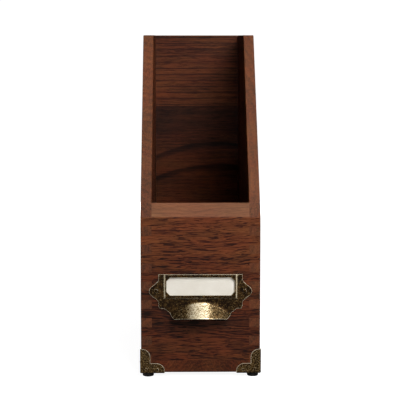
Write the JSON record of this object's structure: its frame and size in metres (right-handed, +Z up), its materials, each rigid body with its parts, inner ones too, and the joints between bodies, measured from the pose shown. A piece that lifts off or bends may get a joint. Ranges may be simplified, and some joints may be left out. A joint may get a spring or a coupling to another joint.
{
  "type": "desktop file box",
  "caption": "Narrow open-topped wooden file box with sloping sides, finger-jointed corners, a brass label-holder pull, brass corner brackets and rubber feet.",
  "frame": {"origin": "on the floor under the middle of the whole object, its bounding box's bottom centre", "axes": "+Z up, -Y the way the front with the pull faces, +X to the right seen from the front"},
  "size_m": [0.1112, 0.275, 0.3103],
  "materials": {
    "walnut": "satin oiled, open grain",
    "aged_brass": "antiqued, dark in the hollows and worn bright on the edges",
    "black_rubber": "matt",
    "label_paper": "matt card"
  },
  "bodies": {
    "box": {"left_side_board": "walnut", "right_side_board": "walnut", "front_board": "walnut", "upper_back_board": "walnut", "lower_back_board": "walnut", "bottom_board": "walnut", "label_pull": "aged_brass", "pull_pins": "aged_brass", "front_left_bracket": "aged_brass", "front_left_nails": "aged_brass", "front_left_foot": "black_rubber", "front_right_bracket": "aged_brass", "front_right_nails": "aged_brass", "front_right_foot": "black_rubber", "rear_left_bracket": "aged_brass", "rear_left_nails": "aged_brass", "rear_left_foot": "black_rubber", "rear_right_bracket": "aged_brass", "rear_right_nails": "aged_brass", "rear_right_foot": "black_rubber"},
    "card": {"label_card": "label_paper"}
  },
  "joints": [
    {"name": "card_slide", "type": "slide", "parent": "box", "child": "card", "axis": [0, 0, 1], "range_m": [0, 0.021]}
  ]
}
